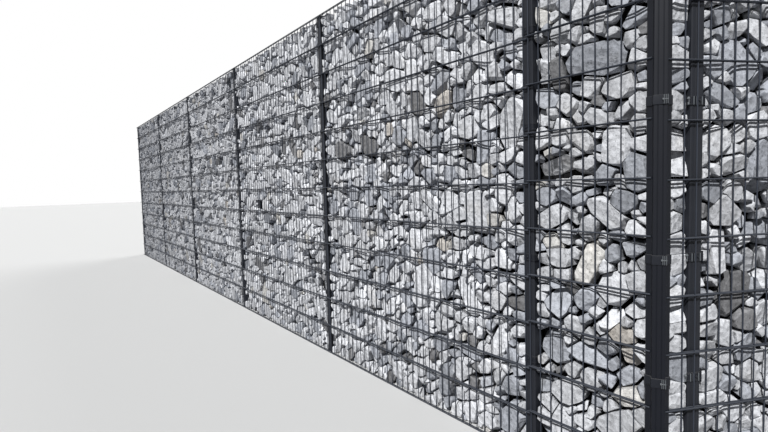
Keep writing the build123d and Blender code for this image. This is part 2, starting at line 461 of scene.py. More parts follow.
def parting_lines(stones):
    """For each stone the lines that part it from others: a point, a direction and the pair's number."""
    n = len(stones)
    if n == 0:
        return []
    s = np.array(stones)
    steps = np.array([-1.0, -0.5, 0.0, 0.5, 1.0])
    px = s[:, 0, None] + s[:, 3, None] * steps * np.cos(s[:, 4, None])
    py = s[:, 1, None] + s[:, 3, None] * steps * np.sin(s[:, 4, None])
    lines = [[] for _ in range(n)]
    for i in range(n):
        far = np.hypot(s[:, 0] - s[i, 0], s[:, 1] - s[i, 1]) - s[:, 2] - s[i, 2] - s[:, 3] - s[i, 3]
        near = [j for j in np.flatnonzero(far < NEAR_SHARE * s[i, 2] + NEAR_ROOM) if j > i]
        for j in near:
            dx = px[j][None, :] - px[i][:, None]
            dy = py[j][None, :] - py[i][:, None]
            d = np.hypot(dx, dy)
            a, b = divmod(int(np.argmin(d)), len(steps))
            gap = d[a, b] - s[i, 2] - s[j, 2]
            if gap > PARTED_GAP * (s[i, 2] + s[j, 2]):
                continue
            ux, uy = dx[a, b] / d[a, b], dy[a, b] / d[a, b]
            cut = s[i, 2] + gap * s[i, 2] / (s[i, 2] + s[j, 2])
            cx, cy = px[i][a] + ux * cut, py[i][a] + uy * cut
            lines[i].append((cx, cy, ux, uy, (i, j)))
            lines[j].append((cx, cy, -ux, -uy, (i, j)))
    return lines


# The share of pale stones and the range of their greys. Stones by the corner are greyer than those far off.
PALE = (0.70, 0.57, 0.79)
PALE_SHORT_BAY = (0.70, 0.50, 0.69)
PALE_WING_TWO = (0.71, 0.53, 0.74)
PALE_FAR_BAYS = (0.79, 0.59, 0.82)
PALE_TINT = (0.965, 0.98, 1.02)

# The others are mid grey, beige, tan and dark: the shares up to each of them, the ranges and the tints.
OTHER_TONES = (
    (0.94, 0.32, 0.50, (0.94, 0.98, 1.07)),
    (0.962, 0.48, 0.66, (1.0, 0.98, 0.94)),
    (0.968, 0.44, 0.60, (1.02, 0.96, 0.89)),
    (1.0, 0.17, 0.25, (1.0, 1.0, 1.03)),
)


def stone_colour(rnd, pale):
    """Colour of one stone, picked by the shares of the tones."""
    pick = rnd.rand()
    for share, low, high, tint in (pale + (PALE_TINT,),) + OTHER_TONES:
        if pick < share:
            v = rnd.uniform(low, high)
            return (v * tint[0], v * tint[1], v * tint[2], 1.0)


# A rectangle of wall face to fill with stones. Its origin and first two directions lie on the mesh.
PATCH_VALUES = "origin frame3 width height deep sizes levels planes open_up"
Patch = namedtuple("Patch", PATCH_VALUES, defaults=((), (), True))

# Shapes of the stones. Angles are in radians, and depths lie behind the mesh.
FULL_TURN = 6.2832
BIG = 34.0
SMALL = 22.0
BLOCK_ROOM = 60.0
PARTING_DEPTH = 30.0
PATCH_EDGE_DEPTH = 20.0
SIDE_DEPTH = 25.0
ROW_NEAR = 24.0
HELD_NEAR = 5.0
POST_NEAR = 25.0
BULGE = 5.4
TRIES = 6
SNUG_BEHIND = (0.3, 2.0, 6.0)
HELD_BEHIND = (0.3, 0.3, 0.3, 0.3, 0.3, 5.0, 20.0)
LOOSE_BEHIND = (0.3, 0.3, 0.3, 4.0, 10.0, 20.0, 38.0)


def sideways(ux, uy, tilt):
    """A direction along the wall face, tilted out of it."""
    return (ux * cos(tilt), uy * cos(tilt), sin(tilt))


def outwards(t, a):
    """A direction out of the wall, leaning by t towards a."""
    return (sin(t) * cos(a), sin(t) * sin(a), cos(t))


def part_stone(block, rnd, patch, number, lines, tilts):
    """Cuts a block along the planes that part it from its neighbours, with wider gaps by a row of wires."""
    for cx, cy, ux, uy, pair in lines:
        tilt = tilts[pair]
        k = cos(tilt)
        w = sin(tilt) if pair[0] == number else -sin(tilt)
        gap = rnd.uniform(0.2, 1.2) + (10.0 * rnd.rand() ** 2 if patch.open_up else 0.0)
        if abs(uy) > 0.5 and any(abs(cy - level) < ROW_NEAR for level in patch.levels):
            gap += rnd.uniform(0.0, 6.0)
        c = ux * k * cx + uy * k * cy - w * PARTING_DEPTH - gap
        block = clip_block(block, (ux * k, uy * k, w), c)
    return block


def trim_to_patch(block, rnd, patch, x, y, reach):
    """Cuts a block at the edges of its patch, a little askew."""
    sides = ((-1.0, 0.0, 0.0), (1.0, 0.0, patch.width), (0.0, -1.0, 0.0), (0.0, 1.0, patch.height))
    for sx, sy, limit in sides:
        here = sx * x + sy * y
        if limit - here < reach:
            loose = patch.open_up and sy < 0.5
            swing = rnd.normal(0.0, 0.07 if loose else 0.03)
            tilt = rnd.normal(0.0, 0.10 if loose else 0.04)
            ux = sx * cos(swing) - sy * sin(swing)
            uy = sx * sin(swing) + sy * cos(swing)
            room = limit - here - rnd.uniform(0.0, 3.0 if loose else 1.0)
            n = sideways(ux, uy, tilt)
            c = n[0] * (x + sx * room) + n[1] * (y + sy * room) - n[2] * PATCH_EDGE_DEPTH
            block = clip_block(block, n, c)
            block = clip_block(block, (sx, sy, 0.0), limit - 0.5)
    return block


def break_sides(block, rnd, patch, stone, reach):
    """Breaks a few flat sides off a block, but hardly any at the patch's ends and top."""
    x, y, r, half, angle = stone
    shares = (0.92 if r > BIG else 0.86, 1.4) if patch.open_up else (1.15, 1.6)
    for _ in range(3 if r > BIG else 4):
        az = rnd.uniform(0.0, FULL_TURN)
        ux, uy = cos(az), sin(az)
        share = rnd.uniform(*shares)
        at_end = (ux < -0.3 and x < reach) or (ux > 0.3 and patch.width - x < reach)
        if at_end or (uy > 0.3 and patch.height - y < reach):
            share = max(share, 1.3)
        support = half * abs(ux * cos(angle) + uy * sin(angle)) + r * share
        n = sideways(ux, uy, rnd.uniform(-0.3, 0.4))
        block = clip_block(block, n, n[0] * x + n[1] * y - n[2] * SIDE_DEPTH + support)
    return block


def break_front(block, rnd, r, held):
    """Gives a block the broken faces turned to the viewer. The first of a held stone is nearly flat."""
    top = max(p[2] for p in block[0])
    az = rnd.uniform(0.0, FULL_TURN)
    n = outwards(min(abs(rnd.normal(0.0, 0.13 if held else 0.3)), 0.7), az)
    low = min(n[0] * p[0] + n[1] * p[1] for p in block[0] if p[2] > top - 1.0)
    block = clip_block(block, n, low + n[2] * top)

    def cut(block, n, low, high):
        return clip_block(block, n, highest(block, n) - rnd.uniform(low, high) * r)

    # Up to two more faces that slope away from the first.
    for share in (0.8, 0.5):
        if rnd.rand() < share and is_solid(block):
            t = rnd.uniform(0.4, 1.05)
            a = az + pi + rnd.uniform(-1.8, 1.8)
            block = cut(block, outwards(t, a), 0.08, 0.32 if held else 0.45)
    # Many stones have a lower face that slopes back under them.
    if rnd.rand() < 0.55 and is_solid(block):
        t = rnd.uniform(0.65, 1.25)
        a = rnd.uniform(-0.7, 0.7) - pi / 2
        block = cut(block, outwards(t, a), 0.10, 0.42)
    # Broken off corners between the face and the sides.
    for _ in range(rnd.randint(0, 3) if r > SMALL else 1):
        t = rnd.uniform(0.85, 1.45)
        a = rnd.uniform(0.0, FULL_TURN)
        if is_solid(block):
            block = cut(block, outwards(t, a), 0.06, 0.30)
    return block


def make_stone(rnd, patch, number, stone, lines, tilts):
    """One stone in face coordinates: x along, y up, z out of the wall, with z = 0 at the mesh."""
    x, y, r, half = stone[:4]
    reach = r + half + BLOCK_ROOM
    thick = min(patch.deep, max(48.0, 1.7 * r + 8.0))
    block = box_block(x - reach, x + reach, y - reach, y + reach, -thick - BLOCK_ROOM, 0.0)
    block = part_stone(block, rnd, patch, number, lines, tilts)
    block = trim_to_patch(block, rnd, patch, x, y, reach)
    block = break_sides(block, rnd, patch, stone, reach)
    if not is_solid(block):
        return None
    # A stone that a row of wires crosses lies flat against them. The others can bulge between the rows.
    xs = [p[0] for p in block[0]]
    ys = [p[1] for p in block[0]]
    held = any(min(ys) - HELD_NEAR < level < max(ys) + HELD_NEAR for level in patch.levels)
    beside_post = min(xs) < POST_NEAR or max(xs) > patch.width - POST_NEAR
    block = break_front(block, rnd, r, held)
    if not is_solid(block):
        return None
    top = max(p[2] for p in block[0])
    block = clip_block(block, (0.0, 0.0, -1.0), thick - top)
    behind = SNUG_BEHIND
    if patch.open_up:
        behind = HELD_BEHIND if held else LOOSE_BEHIND
    lift = -top - rnd.choice(behind) * rnd.uniform(0.4, 1.0)
    if patch.levels and not held and not beside_post:
        lift += BULGE
    block = ([(p[0], p[1], p[2] + lift) for p in block[0]], block[1])
    for n, c in patch.planes:
        block = clip_block(block, n, c)
    if not is_solid(block):
        return None
    back = min(p[2] for p in block[0])
    edge = rnd.uniform(1.3, 2.8) if r > SMALL else rnd.uniform(1.0, 1.8)
    return worn_block(block, edge, rnd, STONE_MERGE, back + 1.0)


def fill_patch(mesh, seed, patch):
    """Packs stones over a patch and adds them to a mesh."""
    rnd = np.random.RandomState(seed)
    stones = lay_stones(rnd, patch.width, patch.height, patch.sizes)
    lines = parting_lines(stones)
    tilts = {}
    for row in lines:
        for line in row:
            tilts.setdefault(line[4], float(np.clip(rnd.normal(0.0, 0.16), -0.4, 0.4)))
    for i, stone in enumerate(stones):
        colour = stone_colour(rnd, mesh.pale)
        for _ in range(TRIES):
            made = make_stone(rnd, patch, i, stone, lines[i], tilts)
            if made is not None:
                mesh.add_turned(*made, patch.frame3, patch.origin, colour)
                break


def build_piece(name, mesh, material, nodes):
    verts = np.asarray(mesh.verts) * MM
    tris = np.asarray(mesh.tris)
    data = bpy.data.meshes.new(name)
    data.from_pydata(verts.tolist(), [], mesh.tris, shade_flat=False)
    colours = data.attributes.new("stone_colour", "FLOAT_COLOR", "POINT")
    colours.data.foreach_set("color", np.asarray(mesh.colours, dtype=np.float32).ravel())
    # Each vertex's normal leans to the biggest faces round it, so that flat faces look flat.
    a, b, c = verts[tris[:, 0]], verts[tris[:, 1]], verts[tris[:, 2]]
    cross = np.cross(b - a, c - a)
    normals = np.zeros_like(verts)
    for k in range(3):
        for axis in range(3):
            normals[:, axis] += np.bincount(tris[:, k], cross[:, axis], len(verts))
    normals /= np.maximum(np.linalg.norm(normals, axis=1, keepdims=True), 1e-12)
    data.normals_split_custom_set_from_vertices(normals.astype(np.float32))
    data.materials.append(material)
    piece = bpy.data.objects.new(name, data)
    bpy.context.scene.collection.objects.link(piece)
    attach(piece, "root")
    if nodes:
        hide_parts(*nodes)
    print(name, len(tris), "triangles")


# Materials.
def new_material(name):
    material = bpy.data.materials.new(name)
    material.use_nodes = True
    tree = material.node_tree
    return material, tree, tree.nodes["Principled BSDF"]


def feed(tree, socket, value):
    """Links a node's output to a socket, or sets the socket to a plain value."""
    if isinstance(value, bpy.types.NodeSocket):
        tree.links.new(value, socket)
    else:
        socket.default_value = value


def node(tree, kind, **values):
    """A node with its properties set and its inputs fed. An input's name has _ in place of a space."""
    made = tree.nodes.new(kind)
    for key, value in values.items():
        if hasattr(made, key):
            setattr(made, key, value)
        else:
            feed(tree, made.inputs[key.replace("_", " ")], value)
    return made


def noise(tree, coords, scale, detail, roughness=0.5):
    made = node(tree, "ShaderNodeTexNoise", Vector=coords, Scale=scale, Detail=detail, Roughness=roughness)
    return made.outputs["Fac"]


def ramp(tree, value, to_low, to_high, from_low=0.0, from_high=1.0):
    """Maps a value from one range to another and keeps it there."""
    limits = {"From_Min": from_low, "From_Max": from_high, "To_Min": to_low, "To_Max": to_high}
    return node(tree, "ShaderNodeMapRange", Value=value, **limits).outputs["Result"]


def calculated(tree, operation, first, second):
    made = node(tree, "ShaderNodeMath", operation=operation)
    feed(tree, made.inputs[0], first)
    feed(tree, made.inputs[1], second)
    return made.outputs["Value"]


def mixed(tree, factor, first, second, blend_type="MIX"):
    """Mixes two colours. In a colour mix they are inputs 6 and 7, and the result is output 2."""
    made = node(tree, "ShaderNodeMix", data_type="RGBA", blend_type=blend_type)
    for number, value in ((0, factor), (6, first), (7, second)):
        feed(tree, made.inputs[number], value)
    return made.outputs[2]


def bumped(tree, height, strength, distance, **below):
    """Normals with a bump, on top of other normals where they are given."""
    made = node(tree, "ShaderNodeBump", Height=height, Strength=strength, Distance=distance, **below)
    return made.outputs["Normal"]


def set_shader(tree, shader, colour, roughness, specular, normal):
    feed(tree, shader.inputs["Base Color"], colour)
    feed(tree, shader.inputs["Roughness"], roughness)
    feed(tree, shader.inputs["Specular IOR Level"], specular)
    feed(tree, shader.inputs["Normal"], normal)


def stone_material():
    """Broken limestone: each stone's own colour, mottled, darker in small spots and stained here and there.
    """
    material, tree, shader = new_material("broken_limestone")
    coords = node(tree, "ShaderNodeTexCoord").outputs["Object"]
    tone = node(tree, "ShaderNodeAttribute", attribute_name="stone_colour").outputs["Color"]
    mottle = noise(tree, coords, 46.0, 9.0, 0.74)
    grain = noise(tree, coords, 180.0, 4.0, 0.7)
    dark_spot_noise = noise(tree, coords, 88.0, 3.0, 0.62)
    stain = noise(tree, coords, 7.0, 5.0, 0.6)
    shade = ramp(tree, mottle, 0.50, 1.40, 0.25, 0.75)
    speck = ramp(tree, grain, 0.88, 1.08, 0.3, 0.7)
    spot_darkening = ramp(tree, dark_spot_noise, 1.0, 0.5, 0.57, 0.68)
    stained = ramp(tree, stain, 0.0, 0.22, 0.56, 0.72)
    level = calculated(tree, "MULTIPLY", calculated(tree, "MULTIPLY", shade, speck), spot_darkening)
    shaded = node(tree, "ShaderNodeVectorMath", operation="SCALE", Scale=level)
    feed(tree, shaded.inputs[0], tone)
    warm = mixed(tree, stained, shaded.outputs["Vector"], (0.93, 0.84, 0.70, 1.0), "MULTIPLY")
    chips = node(tree, "ShaderNodeTexVoronoi", Vector=coords, Scale=38.0).outputs["Distance"]
    facets = bumped(tree, chips, 0.6, 0.008)
    swell = bumped(tree, mottle, 0.55, 0.007, Normal=facets)
    fine = bumped(tree, grain, 0.5, 0.002, Normal=swell)
    set_shader(tree, shader, warm, ramp(tree, grain, 0.78, 0.98), 0.15, fine)
    return material


DUST_COLOUR = (0.36, 0.35, 0.33, 1.0)


def coat_material(name, colour, low, high, dust=0.25):
    """Satin powder coat with a fine orange peel, and some pale dust on what faces up."""
    material, tree, shader = new_material(name)
    coords = node(tree, "ShaderNodeTexCoord").outputs["Object"]
    patch = noise(tree, coords, 9.0, 4.0, 0.6)
    peel = noise(tree, coords, 420.0, 2.0)
    dark, light = (tuple(c * k for c in colour) + (1.0,) for k in (0.8, 1.25))
    tint = mixed(tree, patch, dark, light)
    normal = node(tree, "ShaderNodeNewGeometry").outputs["Normal"]
    upward = node(tree, "ShaderNodeSeparateXYZ", Vector=normal).outputs["Z"]
    settled = ramp(tree, upward, 0.0, dust, 0.35, 1.0)
    dusty = mixed(tree, calculated(tree, "MULTIPLY", settled, patch), tint, DUST_COLOUR)
    set_shader(tree, shader, dusty, ramp(tree, patch, low, high), 0.2, bumped(tree, peel, 0.2, 0.0004))
    return material


stone_look = stone_material()
wire_look = coat_material("wire_coating", (0.030, 0.035, 0.047), 0.34, 0.5, 0.2)
post_look = coat_material("post_coating", (0.0170, 0.0188, 0.0240), 0.4, 0.58)
# The corner post has the same coat as the other posts. This darker copy of it is painted shade.
shaded_corner_look = coat_material("corner_coating_painted_shade", (0.0045, 0.0055, 0.0090), 0.4, 0.58)
clip_look = coat_material("clip_coating", (0.0100, 0.0115, 0.0160), 0.36, 0.5)
cap_look = coat_material("cap_plastic", (0.010, 0.011, 0.013), 0.5, 0.65)
bolt_look = coat_material("zinc_bolts", (0.13, 0.14, 0.15), 0.3, 0.45, 0.1)

# Patches of stones. They keep a little off the mesh, the collars and the ground.
STAND_OFF = 0.8
POST_ROOM = CLIP + 1.0
PATCH_BASE = 2.0
FRONT_CORNER = 57.5
FRONT_CORNER_TWO = FRONT_CORNER - 3.0
REAR_CORNER = 212.0
TOP_CORNER = 125.0
TOP_DEPTH = 106.0

# The sides of a wing: 1 or -1 as depth grows or falls outwards, how deep they lie, and their stones.
FRONT = (-1.0, MESH_DEPTH + STAND_OFF, SIZES)
REAR = (1.0, WALL_DEPTH - MESH_DEPTH - STAND_OFF, REAR_SIZES)


def wall_patch(mesh, seed, wing, side, t0, t1, raised=0.0, mitered=False, narrow=False):
    """Fills one side of a wing from t0 to t1. A mitered patch keeps to its own side of the corner."""
    outward, depth, sizes = side
    if narrow:
        sizes = NARROW
    frame3 = np.array([ALONG[wing], UP, outward * INWARD[wing]])
    origin = place(wing, t0, depth, PATCH_BASE)
    levels = [level + raised - PATCH_BASE for level in ROW_LEVELS]
    miter = (-cos(HALF), 0.0, outward * sin(HALF)), cos(HALF) * t0 - sin(HALF) * depth
    planes = [miter] if mitered else []
    patch = Patch(origin, frame3, t1 - t0, FILL_HEIGHT + 4.0, 105.0, sizes, levels, planes, not narrow)
    fill_patch(mesh, seed, patch)


def top_patch(mesh, seed, wing, t0, t1):
    frame3 = np.array([ALONG[wing], INWARD[wing], UP])
    origin = place(wing, t0, TOP_DEPTH, FILL_HEIGHT + 3.0)
    fill_patch(mesh, seed, Patch(origin, frame3, t1 - t0, height=88.0, deep=70.0, sizes=SIZES[1:]))


def end_patch(mesh, seed, wing, t1):
    near = MESH_DEPTH + POST_SIDE + POST_ROOM
    frame3 = np.array([INWARD[wing], UP, ALONG[wing]])
    origin = place(wing, t1 - STAND_OFF, near, PATCH_BASE)
    width = WALL_DEPTH - 2 * near
    fill_patch(mesh, seed, Patch(origin, frame3, width, FILL_HEIGHT - 2.0, deep=90.0, sizes=SIZES))


# The inside of the fill, seen only through the gaps: a near-black prism whose colour is painted shade,
# standing for the stones deep in shadow.
CORE_NEAR = 90.0
CORE_FAR = 210.0
CORE_TOP = FILL_HEIGHT - 62.0
CORE_END_ROOM = 70.0


def add_core(mesh, wing, end, start=None):
    """A prism from start to end, or from the miter where no start is given."""
    starts = [start, start] if start is not None else [n * tan(HALF) + 1 for n in (CORE_NEAR, CORE_FAR)]
    plan = [(starts[0], CORE_NEAR), (starts[1], CORE_FAR), (end, CORE_FAR), (end, CORE_NEAR)]
    verts = [tuple(place(wing, t, n, z)) for z in (1.0, CORE_TOP) for t, n in plan]
    k = len(plan)
    tris = strip(k, 0, k)
    for i in range(1, k - 1):
        tris += [(k, k + i, k + i + 1), (0, i + 1, i)]
    # Painted shade: the core is near black.
    mesh.add(verts, tris, SHADE_CORE_COLOUR)


def stones_short_bay():
    mesh = Mesh(PALE_SHORT_BAY)
    end = SHORT_BAY - POST_SIDE - POST_ROOM
    middle = SHORT_BAY - POST_SIDE / 2
    wall_patch(mesh, 11, 1, FRONT, FRONT_CORNER, end, SHORT_LIFT, mitered=True)
    wall_patch(mesh, 12, 1, REAR, REAR_CORNER, end, SHORT_LIFT, mitered=True)
    top_patch(mesh, 13, 1, TOP_CORNER, middle)
    add_core(mesh, 1, middle)
    build_piece("stones_short_bay", mesh, stone_look, ["stone_fill_short_bay"])


def stones_bay(bay):
    near, far = POST_FAR[bay - 1], POST_FAR[bay]
    last = bay == BAYS
    mesh = Mesh(PALE if bay == 1 else PALE_FAR_BAYS)
    start, end = near + POST_ROOM, far - POST_SIDE - POST_ROOM
    wall_patch(mesh, 100 + bay, 1, FRONT, start, end)
    wall_patch(mesh, 200 + bay, 1, REAR, start, end)
    near_middle, far_middle = near - POST_SIDE / 2, far - POST_SIDE / 2
    top_patch(mesh, 300 + bay, 1, near_middle, WING_ONE_END - STAND_OFF if last else far_middle)
    add_core(mesh, 1, far - CORE_END_ROOM if last else far_middle, near_middle)
    if last:
        end_patch(mesh, 401, 1, WING_ONE_END)
    build_piece("stones_bay_%d" % bay, mesh, stone_look, ["stone_fill_bay_%d" % bay])


def stones_wing_two():
    mesh = Mesh(PALE_WING_TWO)
    end = WING_TWO_FAR - POST_SIDE - POST_ROOM
    wall_patch(mesh, 21, 2, FRONT, FRONT_CORNER_TWO, SECOND_POST - 1.0, mitered=True, narrow=True)
    wall_patch(mesh, 22, 2, FRONT, SECOND_FAR + POST_ROOM, end)
    wall_patch(mesh, 23, 2, REAR, REAR_CORNER, end, mitered=True)
    top_patch(mesh, 24, 2, TOP_CORNER, WING_TWO_END - STAND_OFF)
    end_patch(mesh, 25, 2, WING_TWO_END)
    add_core(mesh, 2, WING_TWO_FAR - CORE_END_ROOM)
    build_piece("stones_wing_two", mesh, stone_look, ["stone_fill_wing_two"])


stones_short_bay()
for bay in range(1, BAYS + 1):
    stones_bay(bay)
stones_wing_two()


# Round wires in the places of the square bars.
def add_tube(mesh, a, b, radius, sides=8):
    """A round bar from a to b. Its ends have vertices of their own, so that they look flat."""
    a, b = np.asarray(a, float), np.asarray(b, float)
    axis = (b - a) / np.linalg.norm(b - a)
    side = np.cross(axis, UP if abs(axis[2]) < 0.9 else np.array([1.0, 0.0, 0.0]))
    side /= np.linalg.norm(side)
    other = np.cross(axis, side)
    angles = [2 * pi * k / sides for k in range(sides)]
    ring = [radius * (cos(angle) * side + sin(angle) * other) for angle in angles]
    start = [tuple(a + r) for r in ring]
    end = [tuple(b + r) for r in ring]
    mesh.add(start + end, strip(sides, 0, sides))
    mesh.add(start, [(0, k + 1, k) for k in range(1, sides - 1)])
    mesh.add(end, [(0, k, k + 1) for k in range(1, sides - 1)])


def line_wires(name, wing, front, front_inner, rear, end, lift=0.0, end_face=None):
    """Level wires of one bay and, where an end face is given, those across a wing's end."""
    mesh = Mesh()
    r = LINE_WIRE / 2
    inner = MESH_DEPTH - r
    starts = ((r, front), (inner, front_inner), (WALL_DEPTH - inner, rear), (WALL_DEPTH - r, rear))
    for level in ROW_LEVELS:
        z = level + lift
        for n, t0 in starts:
            add_tube(mesh, place(wing, t0, n, z), place(wing, end, n, z), r)
        if end_face is not None:
            t = end_face + UPRIGHT_WIRE + r
            add_tube(mesh, place(wing, t, 0.0, z), place(wing, t, WALL_DEPTH, z), r)
    build_piece(name + "_round", mesh, wire_look, [name])


def upright_wires(name, wing, fronts, rears, lift=0.0, end_face=None):
    """Upright wires of one bay and, where an end face is given, those across a wing's end."""
    mesh = Mesh()
    r = UPRIGHT_WIRE / 2
    n = LINE_WIRE + r
    feet = [(t, n) for t in fronts] + [(t, WALL_DEPTH - n) for t in rears]
    if end_face is not None:
        count = int((WALL_DEPTH - 2 * MESH_DEPTH) / UPRIGHT_PITCH)
        first = (WALL_DEPTH - count * UPRIGHT_PITCH) / 2
        feet += [(end_face + r, first + UPRIGHT_PITCH * k) for k in range(count + 1)]
    for t, depth in feet:
        add_tube(mesh, place(wing, t, depth, 0.0), place(wing, t, depth, TOP_LEVEL + lift), r)
    build_piece(name + "_round", mesh, wire_look, [name])


def seat_line(x):
    """Depth at the corner of the inner faces of the outer line wires, at a distance x from the middle."""
    return LINE_WIRE / cos(HALF) + abs(x) * tan(HALF)


def upright_row(first, end, overhang):
    count = int((end - overhang - first) / UPRIGHT_PITCH + 0.001)
    return [first + UPRIGHT_PITCH * i for i in range(count + 1)]


def short_row(start, last):
    """Places counted back from the post, as the short panel is cut at the corner."""
    count = int((last - start - UPRIGHT_WIRE) / UPRIGHT_PITCH)
    return [last - UPRIGHT_PITCH * i for i in range(count + 1)]


FLANGE_OUTER = seat_line(FLANGE_HALF)
FLANGE_END = FLANGE_HALF * cos(HALF) + (FLANGE_OUTER + FLANGE_THICKNESS) * sin(HALF)
OUTER_START = (NOSE_HALF + LINE_WIRE * sin(HALF)) / cos(HALF) + WIRE_END_ROOM
INNER_START = FLANGE_END + WIRE_END_ROOM
REAR_START = WALL_DEPTH * tan(HALF) + MITER_ROOM


def wires_short_bay():
    end = SHORT_BAY - SHORT_INSET
    last = end - SHORT_OVERHANG
    line_wires("line_wires_short_bay", 1, OUTER_START, INNER_START, REAR_START, end, SHORT_LIFT)
    fronts, rears = short_row(FLANGE_END, last), short_row(REAR_START, last)
    upright_wires("upright_wires_short_bay", 1, fronts, rears, SHORT_LIFT)


def wires_bay(bay):
    last = bay == BAYS
    start = POST_FAR[bay - 1] - JOINT_INSET + PANEL_GAP / 2
    end = WING_ONE_END if last else POST_FAR[bay] - JOINT_INSET - PANEL_GAP / 2
    end_face = WING_ONE_END if last else None
    places = upright_row(start + WIRE_OVERHANG, end, WIRE_OVERHANG / 2)
    line_wires("line_wires_bay_%d" % bay, 1, start, start, start, end, 0.0, end_face)
    upright_wires("upright_wires_bay_%d" % bay, 1, places, places, 0.0, end_face)


def wires_wing_two():
    end = WING_TWO_END
    line_wires("line_wires_wing_two", 2, OUTER_START, INNER_START, REAR_START, end, 0.0, end)
    fronts = upright_row(FLANGE_END + WING_TWO_FIRST, end, WIRE_OVERHANG / 2)
    rears = upright_row(REAR_START + WIRE_OVERHANG, end, WIRE_OVERHANG / 2)
    upright_wires("upright_wires_wing_two", 2, fronts, rears, 0.0, end)


wires_short_bay()
for bay in range(1, BAYS + 1):
    wires_bay(bay)
wires_wing_two()


# Plan outlines of posts, collars and bands.
def mirrored(right):
    """A closed outline from its right half, which is listed from front to back."""
    return right + [(-x, y) for x, y in reversed(right)]


def corners(outline):
    """Every point of a closed outline, between the one before it and the one after."""
    points = [np.array(p, float) for p in outline]
    return zip(points[-1:] + points[:-1], points, points[1:] + points[:1])


def rounded(outline, radius, steps=2):
    """The outline with each corner replaced by a short arc."""
    out = []
    for a, v, b in corners(outline):
        da, db = a - v, b - v
        la, lb = np.linalg.norm(da), np.linalg.norm(db)
        r = min(radius, 0.4 * la, 0.4 * lb)
        p, q = v + da / la * r, v + db / lb * r
        for j in range(steps + 1):
            f = j / steps
            out.append(tuple((1 - f) ** 2 * p + 2 * f * (1 - f) * v + f * f * q))
    return out


def signed_area(outline):
    """Twice the area, which is positive where the outline runs anticlockwise."""
    return sum(p[0] * q[1] - q[0] * p[1] for p, q in zip(outline[-1:] + outline[:-1], outline))


def inset(outline, by):
    """The outline moved in by a distance."""
    out = []
    turn = 1.0 if signed_area(outline) > 0 else -1.0
    for a, v, b in corners(outline):
        ea = (v - a) / max(np.linalg.norm(v - a), 1e-9)
        eb = (b - v) / max(np.linalg.norm(b - v), 1e-9)
        na = np.array([-ea[1], ea[0]]) * turn
        nb = np.array([-eb[1], eb[0]]) * turn
        out.append(tuple(v + (na + nb) * by / max(1.0 + float(na @ nb), 0.4)))
    return out


def add_prism(mesh, outline, frame3, origin, z0, z1, edge=0.8):
    """An upright prism over a plan outline, with its top and bottom edges bevelled."""
    if signed_area(outline) < 0:
        outline = outline[::-1]
    small = inset(outline, edge)
    k = len(outline)
    rings = [(small, z0), (outline, z0 + edge), (outline, z1 - edge), (small, z1)]
    verts = [(x, y, z) for ring, z in rings for x, y in ring]
    tris = []
    for level in range(3):
        tris += strip(k, level * k, (level + 1) * k)
    for a, b, c in tessellate_polygon([[Vector((x, y, 0.0)) for x, y in small]]):
        if signed_area([small[a], small[b], small[c]]) < 0:
            b, c = c, b
        tris += [(3 * k + a, 3 * k + b, 3 * k + c), (a, c, b)]
    mesh.add_turned(verts, tris, frame3, origin)


def add_worn(mesh, block, frame3, origin, edge):
    made = worn_block(block, edge, np.random.RandomState(1), FITTING_MERGE)
    mesh.add_turned(*made, frame3, origin)


def hexagon(across, z0, z1):
    block = box_block(-across, across, -across, across, z0, z1)
    for k in range(6):
        a = k * pi / 3
        block = clip_block(block, (cos(a), sin(a), 0.0), across / 2)
    return block


# Posts. Two fine grooves run down the outer face, at y = 0, and y grows into the wall.
GROOVE_PLACES = (-8.0, 8.0)
GROOVE_HALF = 1.5
GROOVE_DEPTH = 1.5
GROOVE_SLOPE = 0.4
POST_CORNER = 3.2


def groove(m):
    g, inner, d = GROOVE_HALF, GROOVE_HALF - GROOVE_SLOPE, GROOVE_DEPTH
    return [(m - g, 0.0), (m - inner, d), (m + inner, d), (m + g, 0.0)]


def post_outline():
    h = POST_SIDE / 2
    grooves = [point for m in GROOVE_PLACES for point in groove(m)]
    return rounded([(-h, 0.0)] + grooves + [(h, 0.0), (h, POST_SIDE), (-h, POST_SIDE)], POST_CORNER)


POST_OUTLINE = post_outline()


def post_frame(wing, far, face):
    """Frame and origin of a post: x along the wing, y into the wall from the post's outer face."""
    outward = 1.0 if face == "front" else -1.0
    depth = MESH_DEPTH if face == "front" else WALL_DEPTH - MESH_DEPTH
    frame3 = np.array([ALONG[wing], INWARD[wing] * outward, UP])
    return frame3, place(wing, far - POST_SIDE / 2, depth, 0.0)


def build_posts(node_name, wing, far, faces):
    mesh = Mesh()
    for face in faces:
        add_prism(mesh, POST_OUTLINE, *post_frame(wing, far, face), 0.0, POST_HEIGHT)
    build_piece(node_name + "_grooved", mesh, post_look, [node_name])


BOTH = ("front", "rear")
for number, far in enumerate(POST_FAR, 1):
    build_posts("posts_%d" % number, 1, far, BOTH)
build_posts("second_post", 2, SECOND_FAR, ("front",))
build_posts("end_posts_wing_two", 2, WING_TWO_FAR, BOTH)

# Collars. Two beads stand proud of each near its rims. They end some way back on its sides.
COLLAR_HALF = POST_SIDE / 2 + CLIP
COLLAR_CORNER = 4.0
COLLAR_EDGE = 0.9
BEAD_PROUD = 0.7
BEAD_BACK = 20.0
BEAD_FROM_RIM = 5.0
BEAD_HALF = 1.2
COLLAR_BOLT_PLACE = 8.0


def box_outline(h, front, back):
    return rounded([(-h, front), (h, front), (h, back), (-h, back)], COLLAR_CORNER)


